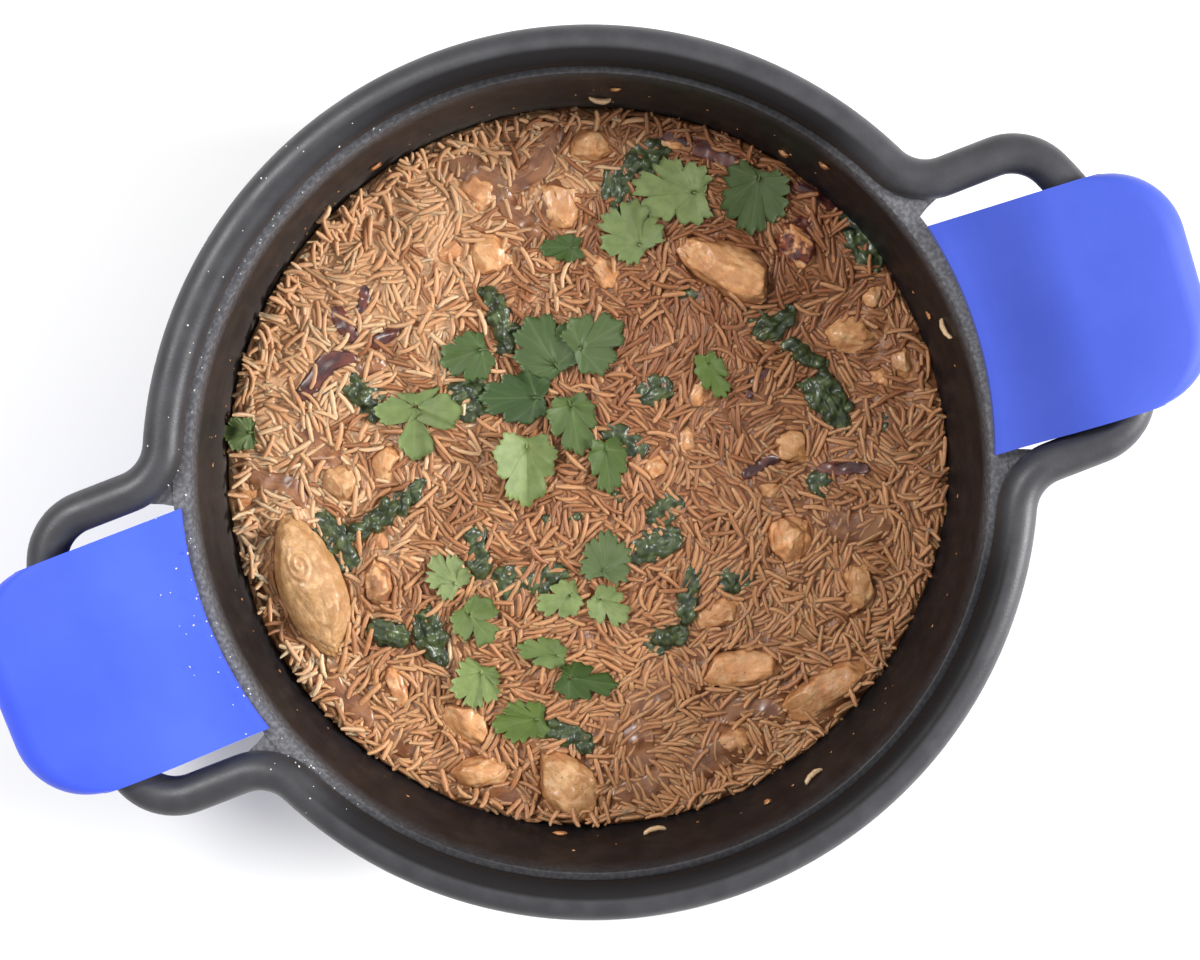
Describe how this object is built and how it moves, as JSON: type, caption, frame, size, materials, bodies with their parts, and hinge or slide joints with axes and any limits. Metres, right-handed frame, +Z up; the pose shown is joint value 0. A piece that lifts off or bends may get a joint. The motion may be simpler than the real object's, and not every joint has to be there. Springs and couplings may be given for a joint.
{
  "type": "pot of chicken pilaf",
  "caption": "Round cooking pot with loop handles and folded silicone handle covers, half full of chicken pilaf topped with chicken pieces, wilted greens and coriander leaves.",
  "frame": {"origin": "middle of the pot's flat base, on the surface that it stands on", "axes": "+Z up; +X out through the right handle, the one with the slightly askew cover"},
  "size_m": [0.4444, 0.3118, 0.1187],
  "materials": {
    "coated_metal": "dark grey satin coating, slightly speckled",
    "silicone": "royal blue matt silicone",
    "rice": "moist orange-brown and cream rice grains",
    "chicken": "moist tan cooked chicken",
    "wilted_greens": "very dark green, wet and glossy",
    "onion": "translucent brown softened onion",
    "coriander": "fresh mid green, matt"
  },
  "bodies": {
    "root": {"casserole": "coated_metal", "handle_cover_right": "silicone", "handle_cover_left": "silicone", "pilaf": "rice", "chicken_fillet_left": "chicken", "chicken_left_inner": "chicken", "chicken_left_pale": "chicken", "chicken_left_block": "chicken", "chicken_big_upper_right": "chicken", "chicken_browned": "chicken", "chicken_flat_right": "chicken", "chicken_edge_right": "chicken", "chicken_wedge": "chicken", "chicken_oval_right": "chicken", "chicken_lower_right": "chicken", "chicken_long_lower_right": "chicken", "chicken_lower_block": "chicken", "chicken_bottom": "chicken", "chicken_bottom_left": "chicken", "chicken_lower_left": "chicken", "chicken_strip_left": "chicken", "chicken_top": "chicken", "chicken_top_shred": "chicken", "chicken_upper_left": "chicken", "chicken_pale_right": "chicken", "chicken_lower_middle": "chicken", "greens_upper_left": "wilted_greens", "greens_left": "wilted_greens", "greens_left_long": "wilted_greens", "greens_left_small": "wilted_greens", "greens_left_clump": "wilted_greens", "greens_right_upper": "wilted_greens", "greens_right_middle": "wilted_greens", "greens_right_clump": "wilted_greens", "greens_lower_middle": "wilted_greens", "onion_left": "onion", "onion_lower_left": "onion", "coriander_01": "coriander", "coriander_02": "coriander", "coriander_03": "coriander", "coriander_04": "coriander", "coriander_05": "coriander", "coriander_06": "coriander", "coriander_07": "coriander", "coriander_08": "coriander", "coriander_09": "coriander", "coriander_10": "coriander", "coriander_11": "coriander", "coriander_12": "coriander", "coriander_13": "coriander", "coriander_14": "coriander", "coriander_15": "coriander", "coriander_16": "coriander", "coriander_17": "coriander", "coriander_18": "coriander", "coriander_19": "coriander", "coriander_20": "coriander", "coriander_21": "coriander", "coriander_22": "coriander", "coriander_23": "coriander"}
  },
  "joints": []
}
